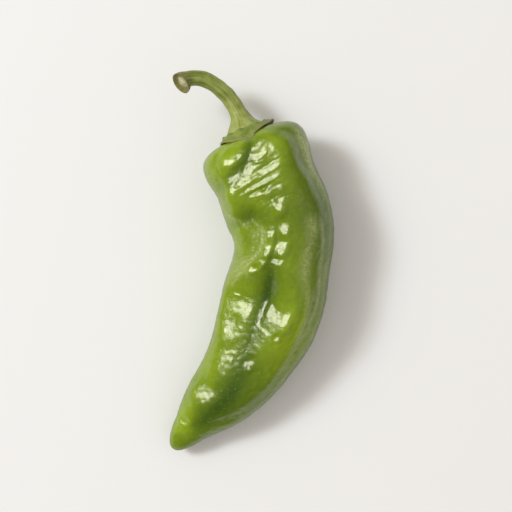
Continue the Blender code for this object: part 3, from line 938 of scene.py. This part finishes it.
def stem_points(shape, settings, share, angle):
    """The stem's skin: its path plus a ribbed, flared and swollen radius across the path."""
    fine = np.linspace(0.0, 1.0, 401)
    middle, travel, side = (value[0] for value in shape.frames(np.zeros(1)))
    turn = np.radians(smooth(STEM_TURNS, fine))[:, None]
    rise = np.radians(smooth(STEM_RISES, fine))[:, None]
    level = -np.cos(turn) * travel - np.sin(turn) * side
    direction = np.cos(rise) * level + np.sin(rise) * UP
    steps = (direction[1:] + direction[:-1]) / 2 * settings.length / 400
    path = np.vstack([np.zeros(3), np.cumsum(steps, axis=0)])
    path = path + middle - travel * settings.calyx_collar
    centre = np.stack([np.interp(share, fine, path[:, i]) for i in range(3)], axis=-1)
    ahead = np.stack([np.interp(share, fine, direction[:, i]) for i in range(3)], axis=-1)
    ahead /= np.linalg.norm(ahead, axis=-1)[..., None]
    across = np.cross(ahead, UP)
    across /= np.linalg.norm(across, axis=-1)[..., None]
    above = np.cross(across, ahead)
    distance = share * settings.length
    foot = (1 - np.clip(distance / settings.foot_length, 0.0, 1.0)) ** 2.2
    end = ease((distance - settings.length + settings.end_length) / settings.end_length)
    plain = settings.radius + (settings.foot_radius - settings.radius) * foot
    thin = settings.radius - settings.taper
    plain = plain - settings.taper * ease(share / 0.6) + (settings.end_radius - thin) * end
    twist = angle + 0.5 * share
    rib = np.cos(settings.ribs * twist) + 0.4 * np.cos((settings.ribs * 2 - 1) * twist + 1.0)
    radius = plain * (1 + 0.012 * rib * (1 - 0.6 * end))
    out = np.cos(angle)[..., None] * across + np.sin(angle)[..., None] * above
    return centre, ahead, out, radius, rib


class CHILLI_OT_make_pod(bpy.types.Operator):
    """Makes the pod: rings of points along its bent middle line, with grooves, folds and crinkles"""

    bl_idname = "chilli.make_pod"
    bl_label = "Make pod"

    def execute(self, context):
        settings = context.scene.chilli_pod
        shape = build_pod(settings)
        body = settings.rings - SHOULDER_RINGS - TIP_RINGS
        along, share = shape.rows(SHOULDER_RINGS, body, TIP_RINGS)
        angle = np.linspace(0, 2 * math.pi, settings.sides, endpoint=False)
        rings, relief = shape.point(along[:, None], share[:, None], angle[None, :])
        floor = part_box("pod")[0].z
        rings[..., 2] = np.maximum(rings[..., 2], floor)
        ends, _, _ = shape.frames(np.array([0.0, shape.length]))
        pod = ring_mesh("pod_surface", rings, ends)
        height = np.concatenate([relief.ravel(), [0.0, 0.0]])
        add_values(pod, "relief", height)
        # Painted light and shade, and painted sheens, stored on the vertices for the skin.
        tone, pale = shape.tone(along[:, None], angle[None, :])
        # The painted sheens on the -X side are streaked along the waist's folds.
        folds = 0.4 * shape.streaks(along[:, None], angle[None, :], rings) - 0.1
        pale = pale * (1.0 + folds * (np.cos(angle) < -0.05)[None, :])
        add_values(pod, "tone", np.concatenate([tone.ravel(), [0.0, 0.0]]))
        add_values(pod, "pale", np.concatenate([pale.ravel(), [0.0, 0.0]]))
        own_piece(pod, "pod", skin_finish(context.scene.chilli_colours))
        return {"FINISHED"}


class CHILLI_OT_make_calyx(bpy.types.Operator):
    """Makes the calyx: a toothed cap over the pod's blunt end, curled up at one tooth"""

    bl_idname = "chilli.make_calyx"
    bl_label = "Make calyx"

    def execute(self, context):
        settings = context.scene.chilli_stem
        shape = build_pod(context.scene.chilli_pod)
        angle = np.linspace(0, 2 * math.pi, 180, endpoint=False)[None, :]
        share = np.linspace(0.0, 1.0, 41)[1:, None]
        upper, lower = calyx_surface(shape, settings, share, angle + 0 * share)
        edge = (upper[-1] + lower[-1]) / 2
        middle, _, _ = shape.frames(np.zeros(1))
        edge = edge + (edge - middle) * 0.02
        rings = np.concatenate([upper, edge[None], lower[::-1]])
        ends = [upper[0].mean(axis=0), lower[0].mean(axis=0)]
        calyx = ring_mesh("calyx_surface", rings, np.array(ends))
        rim = np.concatenate([share, [[1.0]], share[::-1]]) + 0 * angle
        add_values(calyx, "rim", np.concatenate([rim.ravel(), [0.0, 0.0]]))
        own_piece(calyx, "calyx", calyx_finish(context.scene.chilli_colours))
        return {"FINISHED"}


class CHILLI_OT_make_stem(bpy.types.Operator):
    """Makes the stem: a ribbed tube on a curved path, flared at its foot and cut at its end"""

    bl_idname = "chilli.make_stem"
    bl_label = "Make stem"

    def execute(self, context):
        settings = context.scene.chilli_stem
        shape = build_pod(context.scene.chilli_pod)
        angle = np.linspace(0, 2 * math.pi, 120, endpoint=False)[None, :]
        share = np.linspace(0.0, 1.0, 161)[:, None]
        centre, ahead, out, radius, rib = stem_points(shape, settings, share, angle + 0 * share)
        points = centre + radius[..., None] * out
        points += (0.00006 * ripple(points, 0.004, 31))[..., None] * out
        # The cut end: rings that shrink towards its centre, dished in, with a raised pith.
        reach = np.linspace(1.0, 0.0, 15)[1:-1][:, None]
        dish = 0.0009 * ease((1 - reach) / 0.35) - 0.0004 * bell(reach / 0.28)
        cap = centre[-1] + (radius[-1] * reach)[..., None] * out[-1] - dish[..., None] * ahead[-1]
        cap += (0.00008 * ripple(cap, 0.0012, 32))[..., None] * ahead[-1]
        rings = np.concatenate([points, cap])
        ends = np.array([centre[0, 0], cap[-1].mean(axis=0)])
        stem = ring_mesh("stem_surface", rings[:, ::-1], ends)
        rows = len(rings)
        along = np.concatenate([share, np.ones_like(reach)]) + 0 * angle
        turn = np.broadcast_to(np.abs(angle - math.pi) / math.pi, (rows, angle.shape[1]))
        cut = np.concatenate([0 * share, 1 - reach]) + 0 * angle
        height = np.concatenate([rib, np.repeat(rib[-1:], len(reach), axis=0)])
        for name, values in (("along", along), ("around", turn), ("cut", cut), ("rib", height)):
            add_values(stem, name, np.concatenate([values[:, ::-1].ravel(), [0.0, 1.0]]))
        own_piece(stem, "stem", stem_finish(context.scene.chilli_colours))
        return {"FINISHED"}


def add_panel(name, target, way, size, power, colour):
    """Area light of width and height size, away from its target by way and turned to it, hidden
    from the camera."""
    light = bpy.data.lights.new(name, "AREA")
    light.shape = "RECTANGLE"
    light.size, light.size_y = size
    light.energy = power
    light.color = colour
    obj = bpy.data.objects.new(name, light)
    bpy.context.scene.collection.objects.link(obj)
    obj.location = target + way
    obj.rotation_euler = (-way).to_track_quat("-Z", "Y").to_euler()
    obj.visible_camera = False
    return obj


class CHILLI_OT_make_studio(bpy.types.Operator):
    """Makes the pale floor, the soft lights and the camera that looks straight down"""

    bl_idname = "chilli.make_studio"
    bl_label = "Make studio"

    def execute(self, context):
        settings = context.scene.chilli_studio
        low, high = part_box("pod")
        middle = (low + high) / 2
        plane = bpy.data.meshes.new("studio_floor")
        half = FLOOR_WIDTH / 2
        corners = [(-half, -half, 0), (half, -half, 0), (half, half, 0), (-half, half, 0)]
        plane.from_pydata(corners, [], [(0, 1, 2, 3)])
        floor = bpy.data.objects.new("studio_floor", plane)
        context.scene.collection.objects.link(floor)
        plane.materials.append(floor_finish(context.scene.chilli_colours.floor))

        # The key makes the shadows and isn't seen in reflections, where the glow stands for it.
        key_way = Vector(KEY_WAY)
        key = add_panel("key_light", middle, key_way * 2.2, (0.38, 0.38), settings.key_power, COOL)
        key.visible_glossy = False
        add_panel("key_glow", middle, key_way * 2.3, (0.86, 0.86), settings.glow_power, WARM)
        add_panel("side_panel", middle, Vector((0.95, -0.15, 0.62)), (0.9, 0.7), settings.fill_power,
                  AMBER)

        # The room is brighter overhead and on the key's side, and darker in reflections.
        world = bpy.data.worlds.new("studio_room")
        world.use_nodes = True
        context.scene.world = world
        room = Nodes(world.node_tree)
        way = room.add("ShaderNodeTexCoord").outputs["Generated"]
        level_way = Vector((key_way.x, key_way.y, 0.0)).normalized()
        towards = room.number(
            "ShaderNodeVectorMath", "Value", {"operation": "DOT_PRODUCT"}, {0: way, 1: level_way})
        upward = room.number("ShaderNodeSeparateXYZ", "Z", None, {0: way})
        level = settings.room + towards.step(-0.15, 0.95) * settings.window
        level = level + upward.step(0.4, 0.95) * settings.overhead
        glossy = room.number("ShaderNodeLightPath", "Is Glossy Ray")
        level = level * (1.0 - glossy * settings.dark_shine)
        background = world.node_tree.nodes["Background"].inputs
        background["Color"].default_value = (*ROOM_COLOUR, 1.0)
        room.join(level, background["Strength"])

        camera = bpy.data.cameras.new("studio_camera")
        camera.lens = settings.lens
        camera.sensor_width = SENSOR_WIDTH
        camera.clip_start = 0.01
        camera.clip_end = 20.0
        eye = bpy.data.objects.new("studio_camera", camera)
        context.scene.collection.objects.link(eye)
        away = settings.view_width * settings.lens / SENSOR_WIDTH
        eye.location = (LOOK_AT[0], LOOK_AT[1], LOOK_AT[2] + away)
        context.scene.camera = eye
        context.scene.view_settings.view_transform = "Standard"
        return {"FINISHED"}


class CHILLI_PT_panel(bpy.types.Panel):
    """Sidebar panel with the sizes, colours and steps"""

    bl_idname = "CHILLI_PT_panel"
    bl_label = "Green chilli"
    bl_space_type = "VIEW_3D"
    bl_region_type = "UI"
    bl_category = "Chilli"

    def draw(self, context):
        for group, holder in GROUPS.items():
            box = self.layout.box()
            box.label(text=group.__doc__)
            for name in group.__annotations__:
                box.prop(getattr(context.scene, holder), name)
        for step in STEPS:
            self.layout.operator(step.bl_idname)


GROUPS = {
    ChilliPodSettings: "chilli_pod",
    ChilliStemSettings: "chilli_stem",
    ChilliColours: "chilli_colours",
    ChilliStudioSettings: "chilli_studio",
}
STEPS = (CHILLI_OT_make_pod, CHILLI_OT_make_calyx, CHILLI_OT_make_stem, CHILLI_OT_make_studio)


def register():
    """Registers the settings, the steps and the panel."""
    for group, name in GROUPS.items():
        bpy.utils.register_class(group)
        setattr(bpy.types.Scene, name, bpy.props.PointerProperty(type=group))
    for step in STEPS:
        bpy.utils.register_class(step)
    bpy.utils.register_class(CHILLI_PT_panel)


def unregister():
    """Undoes register."""
    bpy.utils.unregister_class(CHILLI_PT_panel)
    for step in reversed(STEPS):
        bpy.utils.unregister_class(step)
    for group, name in GROUPS.items():
        delattr(bpy.types.Scene, name)
        bpy.utils.unregister_class(group)


def main():
    """Makes every piece in order."""
    register()
    bpy.ops.chilli.make_pod()
    bpy.ops.chilli.make_calyx()
    bpy.ops.chilli.make_stem()
    bpy.ops.chilli.make_studio()


if __name__ == "__main__":
    main()
